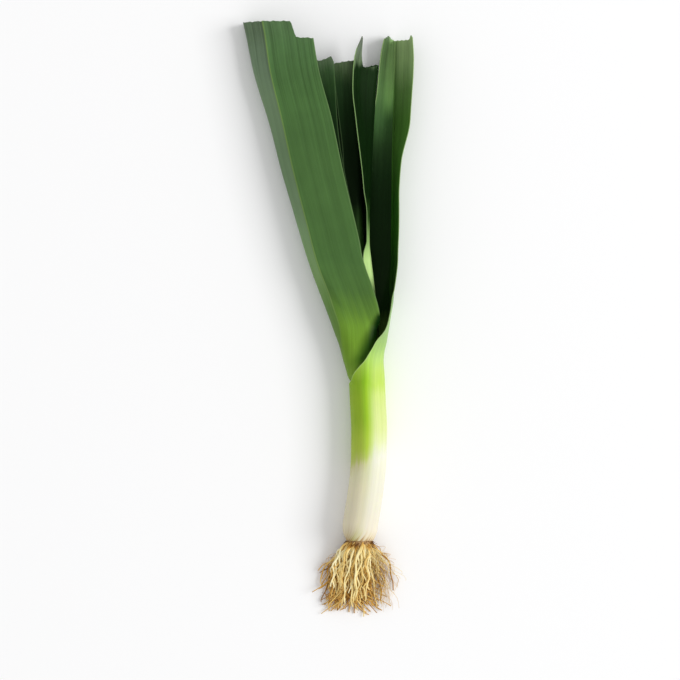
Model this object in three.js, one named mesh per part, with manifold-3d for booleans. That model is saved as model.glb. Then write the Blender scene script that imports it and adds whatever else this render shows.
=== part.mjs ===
// One pulled leek lying on its side, roots and all, with its blades fanned out and trimmed.
// The shaft runs along +Y with the roots at the low end, +Z is up and the surface below it is Z = 0.
// The leaves grow alternately to the right (+X) and to the left (-X). Each is a closed sheath
// tube inside the one before it, which opens at a slanted mouth into a blade folded along its keel.
// Every leaf is drawn as cross-sections at fixed Y. A section starts at the apex, the point that
// lies farthest out on the leaf's own side, and runs from there over the top (front half) and
// below (back half) toward the open side.
import * as THREE from 'three';
import { mergeVertices } from 'three/addons/utils/BufferGeometryUtils.js';
import Module from 'manifold-3d';

// Driving dimensions in millimetres.
const SHAFT_RADIUS = 16;
const SHEATH_PITCH = 2;
const SHEATH_WALL = 1.7;
const BLADE_THICKNESS = 1.2;
const MARGIN_THICKNESS = 0.7;
const OUTER_COLUMNS = 18;
const ROOT_COUNT = 50;
const ROOT_THICKNESS = 1.9;

// The outermost sheath's lowest facet lies flat on the surface.
const AXIS_HEIGHT = SHAFT_RADIUS * Math.cos(Math.PI / OUTER_COLUMNS);

// Sideways drift of the shaft's middle line as [y, x], and, in straight runs between the values,
// its radius as a share of the full one.
const AXIS_X = [[0, -5.5], [12, -5.2], [28, -2.8], [50, 0.4], [72, 2.4], [98, 2.8], [125, 1.6],
  [150, 0.6], [183, -0.5], [210, -2.5], [240, -6], [282, -11], [330, -15]];
const TAPER = [[0, 0.735], [10, 0.97], [22, 1], [60, 0.985], [100, 1], [500, 1]];

// Outer radius of a sheath and the height of its underside, by its order from the outside in.
const sheathRadius = (order) => SHAFT_RADIUS - SHEATH_PITCH * order;
const underside = (order) => Math.max(AXIS_HEIGHT - sheathRadius(order), 0);

// Stations along the length at which all leaves have a section.
const STATIONS = [10, 22, 60, 100, 130, 139, 141, 144, 148, 153, 159, 166, 172, 178, 184, 190, 196, 202,
  208, 217, 228, 240, 254, 268, 284, 304, 328, 352, 376, 400, 414];

// The leaves from the outside in. side is +1 for keels on the right. mouth is the Y at which the
// sheath opens. apex, height and base are the apex's X, its Z and the underside's Z as [y, value].
// keel is how far the keel line lies from the apex, toward the front half. In each half,
// bend1 and bend2 are headings in degrees, 90 straight away from the middle plane, 0 toward the
// open side and -90 closing. round1 and round2 are the radii of the two bends, flat is the
// straight run between them and width the length from apex to margin.
// end is the trimmed outline as [u, y], with u = 1 at the front margin, 0 at the keel and -1 at
// the back margin.
const LEAVES = [
  {
    name: 'outer_leaf', order: 0, side: 1, mouth: 139, foot: 1, columns: OUTER_COLUMNS,
    apex: [[175, 18], [187, 18.9], [195, 19.8], [203, 20.8], [225, 22.8], [250, 24.2], [282, 25.2],
      [336, 25.8], [375, 26.4], [427, 27.8], [448, 28]],
    height: [[139, AXIS_HEIGHT], [195, AXIS_HEIGHT], [225, 10], [250, 5.5], [282, 4], [448, 3.5]],
    base: [[139, 0]],
    keel: [[139, 0], [200, -6], [225, -8], [250, -4.5], [448, -3]],
    front: {
      round1: [[139, 16], [200, 16], [250, 6]],
      bend1: [[139, 0], [159, 0], [175, 28], [187, 68], [195, 84], [203, 90], [225, 96], [250, 98],
        [303, 98.5], [336, 103], [375, 124], [427, 129], [448, 125]],
      round2: [[139, 16]],
      bend2: [[139, -90], [159, -90], [166, 10], [175, 28], [187, 68], [195, 84], [203, 90], [225, 96],
        [250, 98], [303, 98.5], [336, 103], [375, 124], [427, 129], [448, 125]],
      width: [[139, 50.3], [143, 37], [150, 30.3], [159, 25.3], [175, 19.5], [187, 16.2], [195, 15],
        [203, 15.2], [225, 20], [250, 24.5], [282, 25.5], [336, 25.5], [448, 25]],
    },
    back: {
      bend1: [[139, 0], [300, 0], [336, -4], [375, -24], [427, -52], [448, -72]],
      round2: [[139, 16], [200, 16], [225, 30]],
      bend2: [[139, -90], [159, -90], [166, 0], [300, 0], [336, -4], [375, -24], [427, -52], [448, -72]],
      width: [[139, 50.3], [143, 37], [150, 31], [159, 28], [175, 26.5], [203, 29], [225, 28], [250, 27],
        [282, 26.5], [336, 26], [448, 26]],
    },
    end: [[-1, 446], [-0.5, 449.5], [0, 445.5], [0.75, 445], [0.9, 449], [1, 447]],
    color: 0x4f7f3c,
  },
  {
    name: 'broad_leaf', order: 1, side: -1, mouth: 141, foot: 2.1, columns: OUTER_COLUMNS,
    apex: [[147, -14.6], [153, -17], [159, -19.6], [174, -23.9], [183, -27.2], [214, -38.7], [245, -50],
      [275, -59.5], [330, -75.6], [374, -87], [419, -100.5], [449, -106.7], [461, -109.5]],
    height: [[141, AXIS_HEIGHT], [210, AXIS_HEIGHT], [282, 15], [374, 13.5], [449, 11], [461, 11]],
    base: [[141, underside(1)], [215, underside(1)], [260, 0.6], [320, 0]],
    keel: [[141, 0], [175, 9], [195, 14.7], [245, 15.3], [282, 17], [374, 20.4], [449, 25.4], [461, 26]],
    front: {
      round1: [[141, 14], [200, 14], [245, 8]],
      bend1: [[141, 0], [200, 0], [222, 40], [245, 58], [282, 52], [374, 45], [449, 40]],
      flat: [[200, 5], [214, 5], [245, 8], [282, 10], [374, 12.5], [449, 17]],
      round2: [[141, 14], [200, 14], [245, 6], [282, 4]],
      bend2: [[141, -90], [172, -90], [182, -60], [190, -30], [198, 0], [461, 2]],
      width: [[141, 44], [147, 44], [160, 40], [175, 42], [190, 49], [198, 53.5], [206, 57], [214, 59.5],
        [245, 60], [282, 61], [374, 65], [449, 68]],
    },
    back: {
      bend1: [[141, 0]],
      round2: [[141, 14]],
      bend2: [[141, -90], [150, -90], [160, 0]],
      width: [[141, 44], [147, 40], [155, 33], [165, 31], [195, 29.3], [245, 28.7], [282, 27], [374, 24],
        [449, 19]],
    },
    end: [[-1, 461], [0.58, 461], [0.66, 446], [1, 446.5]],
    color: 0x5a8246,
  },
  {
    name: 'third_leaf', order: 2, side: 1, mouth: 172, foot: 3.2, columns: 14,
    apex: [[200, 10.8], [225, 7.8], [250, 4.7], [267, 3.4], [290, 3.4], [312, 4.5], [339, 5.5], [375, 5.5],
      [400, 5.8], [414, 7.5], [430, 10.5]],
    height: [[172, AXIS_HEIGHT], [250, AXIS_HEIGHT], [267, 14.5], [290, 13], [339, 12], [380, 13], [427, 11]],
    base: [[172, underside(2)], [290, 4], [339, 5.5], [380, 7.5], [427, 6]],
    keel: [[172, 0], [250, -6], [430, -3]],
    front: {
      round1: [[172, 12], [250, 12], [290, 8], [430, 5]],
      bend1: [[172, 0], [205, 0], [225, 18], [250, 45], [267, 80], [290, 80], [312, 66], [339, 60],
        [380, 40], [427, 20]],
      flat: [[172, 0], [300, 8], [430, 9]],
      round2: [[172, 12], [260, 12], [300, 6], [430, 5]],
      bend2: [[172, -90], [195, -90], [205, 0], [225, 18], [250, 45], [267, 80], [290, 82], [312, 74],
        [339, 68], [380, 58], [427, 50]],
      width: [[172, 37.7], [178, 30], [190, 24], [205, 21], [225, 18], [250, 14.5], [267, 15], [290, 16.5],
        [312, 20], [339, 24], [380, 26], [427, 28]],
    },
    back: {
      bend1: [[172, 0]],
      round2: [[172, 12]],
      bend2: [[172, -90], [190, -90], [200, 0]],
      width: [[172, 37.7], [180, 32], [200, 27], [250, 24], [430, 22]],
    },
    end: [[-1, 420], [-0.1, 424], [0.55, 420], [0.7, 421], [0.8, 429], [0.92, 447], [1, 430]],
    color: 0x3c6630,
  },
  {
    name: 'fourth_leaf', order: 3, side: -1, mouth: 190, foot: 4.3, columns: 14,
    apex: [[200, -12.6], [215, -16.5], [245, -25.5], [282, -35], [345, -48], [427, -60]],
    height: [[190, AXIS_HEIGHT], [282, 16], [345, 17], [427, 17]],
    base: [[190, underside(3)], [345, 7]],
    keel: [[190, 0], [245, 8], [427, 10]],
    front: {
      round1: [[190, 10]],
      bend1: [[190, 0]],
      round2: [[190, 10]],
      bend2: [[190, -90], [245, -90], [275, 0]],
      width: [[190, 31.4], [345, 31.7], [427, 37]],
    },
    back: {
      bend1: [[190, 0]],
      round2: [[190, 10]],
      bend2: [[190, -90], [215, -90], [235, 0]],
      width: [[190, 31.4], [200, 27], [212, 21], [245, 20], [427, 22]],
    },
    end: [[-1, 424], [0, 425], [0.6, 426.5], [0.93, 430], [1, 425]],
    color: 0x3f6a34,
  },
  {
    name: 'fifth_leaf', order: 4, side: 1, mouth: 208, foot: 5.4, columns: 14,
    apex: [[220, 4.6], [250, 0.4], [267, -1.4], [290, -2], [339, -2], [380, -4.5], [427, -7]],
    height: [[208, AXIS_HEIGHT], [290, 16.5], [339, 17.5], [380, 18.5], [427, 18]],
    base: [[208, underside(4)], [290, 8.5], [339, 11], [427, 12]],
    keel: [[208, 0]],
    front: {
      round1: [[208, 8], [290, 7.5], [339, 6.5]],
      bend1: [[208, 0]],
      round2: [[208, 8]],
      bend2: [[208, -90], [225, -90], [240, 0]],
      width: [[208, 25.1], [215, 21], [225, 18], [240, 17], [290, 20], [427, 23]],
    },
    back: {
      bend1: [[208, 0]],
      round2: [[208, 8]],
      bend2: [[208, -90], [225, -90], [240, 0]],
      width: [[208, 25.1], [215, 21], [225, 18], [240, 17], [427, 18]],
    },
    end: [[-1, 421], [0, 427.5], [0.6, 425.5], [1, 423.5]],
    color: 0x35602c,
  },
  {
    name: 'heart_leaf', order: 5, side: -1, mouth: 228, foot: 6.5, columns: 10,
    apex: [[240, -13], [260, -18], [290, -25], [345, -33], [405, -40]],
    height: [[228, AXIS_HEIGHT], [290, 16.5], [345, 18.5], [405, 19]],
    base: [[228, underside(5)], [290, 11.5], [345, 14.5], [405, 15]],
    keel: [[228, 0]],
    front: {
      round1: [[228, 6], [290, 5], [345, 4]],
      bend1: [[228, 0]],
      round2: [[228, 6]],
      bend2: [[228, -90], [250, -90], [272, 0]],
      width: [[228, 18.8], [250, 16.5], [268, 15], [290, 18], [405, 19]],
    },
    back: {
      bend1: [[228, 0]],
      round2: [[228, 6]],
      bend2: [[228, -90], [240, -90], [255, 0]],
      width: [[228, 18.8], [240, 14], [405, 14]],
    },
    end: [[-1, 402], [0, 405], [1, 404]],
    color: 0x5d8a3a,
  },
];

// Smooth value of a [y, value] list at y, which never overshoots its own stations.
function along(list, y) {
  const last = list.length - 1;
  if (y <= list[0][0] || last === 0) {
    return list[0][1];
  }
  if (y >= list[last][0]) {
    return list[last][1];
  }
  let i = 0;
  while (y >= list[i + 1][0]) {
    i += 1;
  }
  const rise = (n) => (list[n + 1][1] - list[n][1]) / (list[n + 1][0] - list[n][0]);
  const slope = (n) => {
    if (n === 0) {
      return rise(0);
    }
    if (n === last) {
      return rise(last - 1);
    }
    const a = rise(n - 1);
    const b = rise(n);
    return a * b <= 0 ? 0 : (2 * a * b) / (a + b);
  };
  const h = list[i + 1][0] - list[i][0];
  const t = (y - list[i][0]) / h;
  const s = 1 - t;
  return list[i][1] * (1 + 2 * t) * s * s + slope(i) * h * t * s * s
    + list[i + 1][1] * t * t * (3 - 2 * t) + slope(i + 1) * h * t * t * (t - 1);
}

// Straight-line value of a [u, value] list, for the trimmed outlines.
function between(list, u) {
  for (let i = 1; i < list.length; i += 1) {
    if (u <= list[i][0]) {
      const t = (u - list[i - 1][0]) / (list[i][0] - list[i - 1][0]);
      return list[i - 1][1] + t * (list[i][1] - list[i - 1][1]);
    }
  }
  return list[list.length - 1][1];
}

// Steps s along a bend of the given radius from one heading to another, both in radians.
function bend(from, to, radius, s) {
  const full = Math.abs(to - from) * radius;
  const run = Math.min(s, full);
  const sign = to >= from ? 1 : -1;
  const heading = from + (sign * run) / radius;
  return {
    x: radius * sign * (Math.sin(heading) - Math.sin(from)),
    z: -radius * sign * (Math.cos(heading) - Math.cos(from)),
    rest: Math.max(s - full, 0),
  };
}

// Point of one half at distance s from the apex, x toward the open side and z away from the middle.
function halfPoint(half, y, s, round1, shift) {
  const bend1 = THREE.MathUtils.degToRad(along(half.bend1, y));
  const bend2 = THREE.MathUtils.degToRad(along(half.bend2, y));
  const run = half.flat && y >= half.flat[0][0] ? along(half.flat, y) : shift;
  const first = bend(Math.PI / 2, bend1, round1, s);
  const straight = Math.min(first.rest, run);
  const second = bend(bend1, bend2, along(half.round2, y), first.rest - straight);
  const x = first.x + straight * Math.cos(bend1) + second.x + second.rest * Math.cos(bend2);
  const z = first.z + straight * Math.sin(bend1) + second.z + second.rest * Math.sin(bend2);
  return [x, z];
}

// Outer face of a leaf at y as points [x, z] from the front margin over the keel to the back margin.
function outerSection(leaf, y) {
  const radius = sheathRadius(leaf.order);
  const middle = along(AXIS_X, y);
  const points = [];
  for (let i = 0; i <= leaf.columns; i += 1) {
    const u = 1 - (2 * i) / leaf.columns;
    if (y <= leaf.mouth) {
      const r = radius * between(TAPER, y);
      const angle = Math.PI * u;
      points.push([middle + leaf.side * r * Math.cos(angle), AXIS_HEIGHT + r * Math.sin(angle)]);
    } else {
      const apexX = along([[leaf.mouth, along(AXIS_X, leaf.mouth) + leaf.side * radius], ...leaf.apex], y);
      const apexZ = along(leaf.height, y);
      const keel = along(leaf.keel, y);
      const shift = Math.max(0, leaf.side * (apexX - middle) - radius);
      const margin = u >= 0 ? along(leaf.front.width, y) - keel : along(leaf.back.width, y) + keel;
      const s = keel + u * margin;
      const half = s >= 0
        ? halfPoint(leaf.front, y, s, along(leaf.front.round1, y), shift)
        : halfPoint(leaf.back, y, -s, apexZ - along(leaf.base, y), shift);
      points.push([apexX - leaf.side * half[0], apexZ + (s >= 0 ? half[1] : -half[1])]);
    }
  }
  return points;
}

// Inner face: the outer one moved inward by the wall, which thins from the sheath to the margins.
function innerSection(leaf, y, outer) {
  const radius = sheathRadius(leaf.order);
  const middle = along(AXIS_X, y);
  const opened = THREE.MathUtils.clamp((y - leaf.mouth) / 40, 0, 1);
  const thickest = SHEATH_WALL + (BLADE_THICKNESS - SHEATH_WALL) * opened;
  return outer.map((p, i) => {
    if (y <= leaf.mouth) {
      const k = (radius - SHEATH_WALL) / radius;
      return [middle + k * (p[0] - middle), AXIS_HEIGHT + k * (p[1] - AXIS_HEIGHT)];
    }
    const a = outer[Math.max(i - 1, 0)];
    const b = outer[Math.min(i + 1, leaf.columns)];
    const length = Math.hypot(b[0] - a[0], b[1] - a[1]);
    const u = 1 - (2 * i) / leaf.columns;
    const t = MARGIN_THICKNESS + (thickest - MARGIN_THICKNESS) * (1 - Math.abs(u) ** 3);
    const k = (leaf.side * t) / length;
    return [p[0] + k * (b[1] - a[1]), p[1] - k * (b[0] - a[0])];
  });
}

// Indexed geometry out of point and triangle lists.
function bodyOf(points, triangles) {
  const geometry = new THREE.BufferGeometry();
  geometry.setAttribute('position', new THREE.Float32BufferAttribute(points.flat(), 3));
  geometry.setIndex(triangles.flat());
  return geometry;
}

// One whole leaf, sheath and blade, as a closed body.
function leafGeometry(leaf) {
  const ends = leaf.end.map((e) => e[1]);
  const shortest = Math.min(...ends);
  const rings = [leaf.foot, ...STATIONS.filter((y) => y > leaf.foot + 1.5 && y < shortest - 4)];
  rings.push(shortest + 0.001);
  const mouthRing = rings.findIndex((y) => y >= leaf.mouth);
  const points = [];
  const ids = rings.map((y, j) => {
    const last = j === rings.length - 1;
    const closed = j <= mouthRing;
    const outer = outerSection(leaf, y);
    const inner = innerSection(leaf, y, outer);
    const ring = { outer: [], inner: [] };
    for (let i = 0; i <= leaf.columns; i += 1) {
      if (closed && i === leaf.columns) {
        ring.outer.push(ring.outer[0]);
        ring.inner.push(ring.inner[0]);
      } else {
        const u = 1 - (2 * i) / leaf.columns;
        const end = last ? between(leaf.end, u) : y;
        ring.outer.push(points.push([outer[i][0], end, Math.max(outer[i][1], 0)]) - 1);
        ring.inner.push(points.push([inner[i][0], end, inner[i][1]]) - 1);
      }
    }
    return ring;
  });
  const triangles = [];
  const apart = (a, b) => Math.hypot(...points[a].map((v, axis) => v - points[b][axis]));
  // A four-sided patch is split along its shorter diagonal, so that twisted ones hug the sheath.
  const quad = (a, b, c, d) => {
    const [p, q, r, s] = apart(a, c) <= apart(b, d) ? [a, b, c, d] : [b, c, d, a];
    if (leaf.side > 0) {
      triangles.push([p, q, r], [p, r, s]);
    } else {
      triangles.push([p, r, q], [p, s, r]);
    }
  };
  for (let j = 0; j < rings.length - 1; j += 1) {
    const low = ids[j];
    const high = ids[j + 1];
    for (let i = 0; i < leaf.columns; i += 1) {
      quad(low.outer[i], low.outer[i + 1], high.outer[i + 1], high.outer[i]);
      quad(high.inner[i], high.inner[i + 1], low.inner[i + 1], low.inner[i]);
    }
    if (j >= mouthRing) {
      const n = leaf.columns;
      quad(low.inner[0], low.outer[0], high.outer[0], high.inner[0]);
      quad(low.outer[n], low.inner[n], high.inner[n], high.outer[n]);
    }
  }
  const foot = ids[0];
  const tip = ids[rings.length - 1];
  for (let i = 0; i < leaf.columns; i += 1) {
    quad(foot.inner[i], foot.inner[i + 1], foot.outer[i + 1], foot.outer[i]);
    quad(tip.outer[i], tip.outer[i + 1], tip.inner[i + 1], tip.inner[i]);
  }
  return bodyOf(points, triangles);
}

// Repeatable draw between 0 and 1.
let seed = 20711;
function draw() {
  seed = (seed * 16807) % 2147483647;
  return seed / 2147483647;
}

// Basal plate: the short stem disc, domed below where the roots grow and coned up into the sheaths.
function plateGeometry() {
  const profile = [[0, -6], [5, -5.4], [8.6, -3.4], [10.6, -0.8], [11.1, 0.4], [9.6, 1.7], [7, 3.8],
    [3.2, 6], [0, 6]];
  const outline = profile.map((p) => new THREE.Vector2(Math.max(p[0], 0), p[1]));
  const geometry = new THREE.LatheGeometry(outline, 20);
  geometry.translate(along(AXIS_X, 0), 0, 0);
  geometry.applyMatrix4(new THREE.Matrix4().makeTranslation(0, 0, AXIS_HEIGHT));
  return geometry;
}

// One root: a three-sided tapering string that leaves the plate, spreads and sinks to the surface.
function rootGeometry(index) {
  const turn = index * 2.39996;
  const share = Math.sqrt((index + 0.5) / ROOT_COUNT);
  const ring = 9.4 * share;
  const start = new THREE.Vector3(
    along(AXIS_X, 0) + ring * Math.cos(turn),
    -4.4 + 3.6 * share * share,
    AXIS_HEIGHT + ring * Math.sin(turn),
  );
  const spread = Math.cos(turn) * share;
  const reach = 32 + 32 * draw();
  const sideways = spread * (13 + 17 * draw()) - 5 + 8 * (draw() - 0.5);
  const sway = 9 * (draw() - 0.5);
  const phase = 6.283 * draw();
  const floor = 0.5 + 5.5 * draw();
  const sink = 0.55 + 0.5 * draw();
  const steps = 6;
  const sides = 3;
  const points = [];
  for (let k = 0; k <= steps; k += 1) {
    const t = k / steps;
    const x = start.x + sideways * (1 - (1 - t) ** 1.8) + sway * Math.sin(phase + 5 * t) * t;
    const y = start.y - reach * t + 3 * Math.sin(phase + 4 * t) * t;
    const fall = 1 - (1 - Math.min(t / sink, 1)) ** 1.7;
    const z = Math.max(start.z + (floor - start.z) * fall, 0.55);
    const r = (ROOT_THICKNESS / 2) * (1 - 0.45 * t);
    for (let q = 0; q < sides; q += 1) {
      const angle = (2 * Math.PI * q) / sides + Math.PI / 2;
      points.push([x + r * Math.cos(angle), y, z + r * Math.sin(angle)]);
    }
  }
  const triangles = [];
  for (let k = 0; k < steps; k += 1) {
    for (let q = 0; q < sides; q += 1) {
      const a = k * sides + q;
      const b = k * sides + ((q + 1) % sides);
      triangles.push([a, b, b + sides], [a, b + sides, a + sides]);
    }
  }
  const end = steps * sides;
  triangles.push([0, 2, 1], [end, end + 1, end + 2]);
  return bodyOf(points, triangles);
}

const wasm = await Module();
wasm.setup();

// Solid for joining, out of an indexed geometry.
function solidOf(geometry) {
  const plain = geometry.clone();
  plain.deleteAttribute('normal');
  plain.deleteAttribute('uv');
  const merged = mergeVertices(plain, 1e-4);
  const solid = new wasm.Manifold(new wasm.Mesh({
    numProp: 3,
    vertProperties: new Float32Array(merged.attributes.position.array),
    triVerts: new Uint32Array(merged.index.array),
  }));
  return solid;
}

// Plate and roots grown together.
function rootsGeometry() {
  let tuft = solidOf(plateGeometry());
  for (let index = 0; index < ROOT_COUNT; index += 1) {
    tuft = tuft.add(solidOf(rootGeometry(index)));
  }
  // Strings that touch one another can close in a small bubble, so only the outer skin is kept.
  const skins = tuft.decompose().sort((a, b) => b.volume() - a.volume());
  const mesh = skins[0].getMesh();
  const geometry = new THREE.BufferGeometry();
  geometry.setAttribute('position', new THREE.BufferAttribute(new Float32Array(mesh.vertProperties), 3));
  geometry.setIndex(new THREE.BufferAttribute(new Uint32Array(mesh.triVerts), 1));
  return geometry;
}

const leek = new THREE.Group();
leek.name = 'leek';

function addBody(name, geometry, color) {
  geometry.computeVertexNormals();
  const material = new THREE.MeshStandardMaterial({ color, roughness: 0.6, name: `${name}_surface` });
  const mesh = new THREE.Mesh(geometry, material);
  mesh.name = name;
  leek.add(mesh);
}

LEAVES.forEach((leaf) => addBody(leaf.name, leafGeometry(leaf), leaf.color));
addBody('roots', rootsGeometry(), 0xdcc79b);

// The origin is the middle of the underside of the box around the whole leek.
const box = new THREE.Box3().setFromObject(leek);
const centre = box.getCenter(new THREE.Vector3());
leek.children.forEach((mesh) => mesh.geometry.translate(-centre.x, -centre.y, -box.min.z));

export default leek;
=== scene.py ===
import math

import bpy
import numpy as np
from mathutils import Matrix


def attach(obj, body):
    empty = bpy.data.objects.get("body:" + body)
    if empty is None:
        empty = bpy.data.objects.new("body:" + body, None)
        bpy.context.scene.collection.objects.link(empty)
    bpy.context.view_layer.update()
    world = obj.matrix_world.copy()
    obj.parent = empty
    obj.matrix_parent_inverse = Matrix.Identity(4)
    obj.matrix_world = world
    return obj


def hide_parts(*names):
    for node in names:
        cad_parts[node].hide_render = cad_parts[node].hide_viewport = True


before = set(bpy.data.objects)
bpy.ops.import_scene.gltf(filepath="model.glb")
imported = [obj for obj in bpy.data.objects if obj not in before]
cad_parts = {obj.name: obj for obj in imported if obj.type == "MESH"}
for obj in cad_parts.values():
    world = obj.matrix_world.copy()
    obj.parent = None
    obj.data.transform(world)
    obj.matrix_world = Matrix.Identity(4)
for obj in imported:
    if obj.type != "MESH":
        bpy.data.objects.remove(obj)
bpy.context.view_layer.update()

# Outer leaf. The outermost leaf of the leek: a closed white tube grown from the stem disc, whose
# slanted mouth opens into a blade folded along its keel. Tender tissue under a waxy skin, fixed to
# the disc at its foot and trimmed with a knife at its top.

# The plant is laid out in millimetres from the middle of the disc's rim, which lies here.
PLANT_AT = (32.005, -196.380)
SHAFT_RADIUS = 16.0
SHEATH_PITCH = 2.0
SHEATH_WALL = 1.7
BLADE_THICKNESS = 1.2
MARGIN_THICKNESS = 0.5
AXIS_HEIGHT = 15.757
AXIS_X = [[0, -5.5], [12, -5.2], [28, -2.8], [50, 0.4], [72, 2.4], [98, 2.8], [125, 1.6], [150, 0.6],
          [183, -0.5], [210, -2.5], [240, -6], [282, -11], [330, -15]]
TAPER = [[0, 0.735], [10, 0.97], [22, 1], [60, 0.985], [100, 1], [500, 1]]

OUTER_LEAF = {
    "order": 0, "side": 1, "mouth": 139, "foot": 0.6,
    "apex": [[150, 16.4], [160, 15.7], [167, 16.2], [175, 18], [187, 20], [195, 21.2], [203, 22.5],
             [214, 24.3], [225, 24.9], [250, 25.3], [282, 25.5], [336, 25.8], [375, 26.4],
             [427, 27.8], [448, 28]],
    "height": [[139, AXIS_HEIGHT], [195, AXIS_HEIGHT], [225, 10], [250, 5.5], [282, 4], [448, 3.5]],
    "base": [[139, 0]],
    "keel": [[139, 0], [200, -6], [225, -8], [250, -4.5], [448, -3]],
    "front": {
        "round1": [[139, 16], [200, 16], [250, 6]],
        "bend1": [[139, 0], [159, 0], [175, 28], [187, 66], [195, 76], [203, 81], [214, 84], [225, 92],
                  [250, 98], [303, 98.5], [336, 103], [375, 124], [427, 129], [448, 125]],
        "round2": [[139, 16]],
        "bend2": [[139, -90], [159, -90], [166, 10], [175, 28], [187, 66], [195, 76], [203, 81],
                  [214, 84], [225, 92], [250, 98], [303, 98.5], [336, 103], [375, 124], [427, 129],
                  [448, 125]],
        "width": [[139, 50.3], [143, 40.6], [147, 37.9], [151, 34.6], [155, 30.8], [161, 25.8],
                  [170, 22.2], [179, 20.4], [187, 17.6], [195, 15.4], [203, 15.2], [225, 20],
                  [250, 24.5], [282, 25.5], [336, 25.5], [448, 25]],
    },
    "back": {
        "bend1": [[139, 0], [300, 0], [336, -4], [375, -24], [427, -52], [448, -72]],
        "round2": [[139, 16], [200, 16], [225, 30]],
        "bend2": [[139, -90], [159, -90], [166, 0], [300, 0], [336, -4], [375, -24], [427, -52],
                  [448, -72]],
        "width": [[139, 50.3], [143, 34], [150, 29], [159, 27.5], [175, 26.5], [203, 29], [225, 28],
                  [250, 27], [282, 26.5], [336, 26], [375, 24.6], [401, 22.6], [427, 23.6], [448, 26]],
    },
    "end": [[-1, 446], [-0.5, 449.5], [0, 445.5], [0.75, 445], [0.86, 445.6], [0.92, 449.3], [1, 447]],
    "flare": [[139, 0], [141, 0.5], [144, 1.4], [147, 1.8], [152, 2.1], [165, 3], [182, 3], [200, 1.5],
              [225, 0]],
}


def smooth(table, y):
    """Value at y of a list of [y, value]: a cubic between stations, whose slope at each is the
    harmonic mean of the rises beside it, or 0 where the values turn, so it never overshoots."""
    keys, values = np.array(table, float).T
    if len(keys) == 1:
        return np.full(np.shape(y), values[0])
    rise = np.diff(values) / np.diff(keys)
    product = rise[:-1] * rise[1:]
    total = np.where(product > 0, rise[:-1] + rise[1:], 1)
    inside = np.where(product > 0, 2 * product / total, 0)
    slope = np.concatenate([rise[:1], inside, rise[-1:]])
    at = np.clip(y, keys[0], keys[-1])
    i = np.clip(np.searchsorted(keys, at, side="right") - 1, 0, len(keys) - 2)
    h = keys[i + 1] - keys[i]
    t = (at - keys[i]) / h
    s = 1 - t
    start = values[i] * (1 + 2 * t) * s * s + slope[i] * h * t * s * s
    stop = values[i + 1] * t * t * (3 - 2 * t) + slope[i + 1] * h * t * t * (t - 1)
    return start + stop


def along_arc(start, stop, radius, s):
    """Distance s along an arc from heading start to heading stop: how far it has gone toward the
    open side and away from the middle, and how much of s is left where the arc ends."""
    full = np.abs(stop - start) * radius
    run = np.minimum(s, full)
    sign = np.where(stop >= start, 1.0, -1.0)
    heading = start + sign * run / radius
    toward = radius * sign * (np.sin(heading) - np.sin(start))
    away = -radius * sign * (np.cos(heading) - np.cos(start))
    return toward, away, np.maximum(s - full, 0.0)


def half_section(half, y, s, round1, shift):
    """Half a cross-section, at distance s from the leaf's apex: an arc from heading 90 degrees to
    bend1, a straight run, an arc to bend2, and straight on from there."""
    bend1 = np.radians(smooth(half["bend1"], y))
    bend2 = np.radians(smooth(half["bend2"], y))
    run = shift
    if "flat" in half:
        run = np.where(y >= half["flat"][0][0], smooth(half["flat"], y), shift)
    toward1, away1, rest1 = along_arc(np.pi / 2, bend1, round1, s)
    plain = np.minimum(rest1, run)
    toward2, away2, rest2 = along_arc(bend1, bend2, smooth(half["round2"], y), rest1 - plain)
    toward = toward1 + plain * np.cos(bend1) + toward2 + rest2 * np.cos(bend2)
    away = away1 + plain * np.sin(bend1) + away2 + rest2 * np.sin(bend2)
    return toward, away


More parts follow.
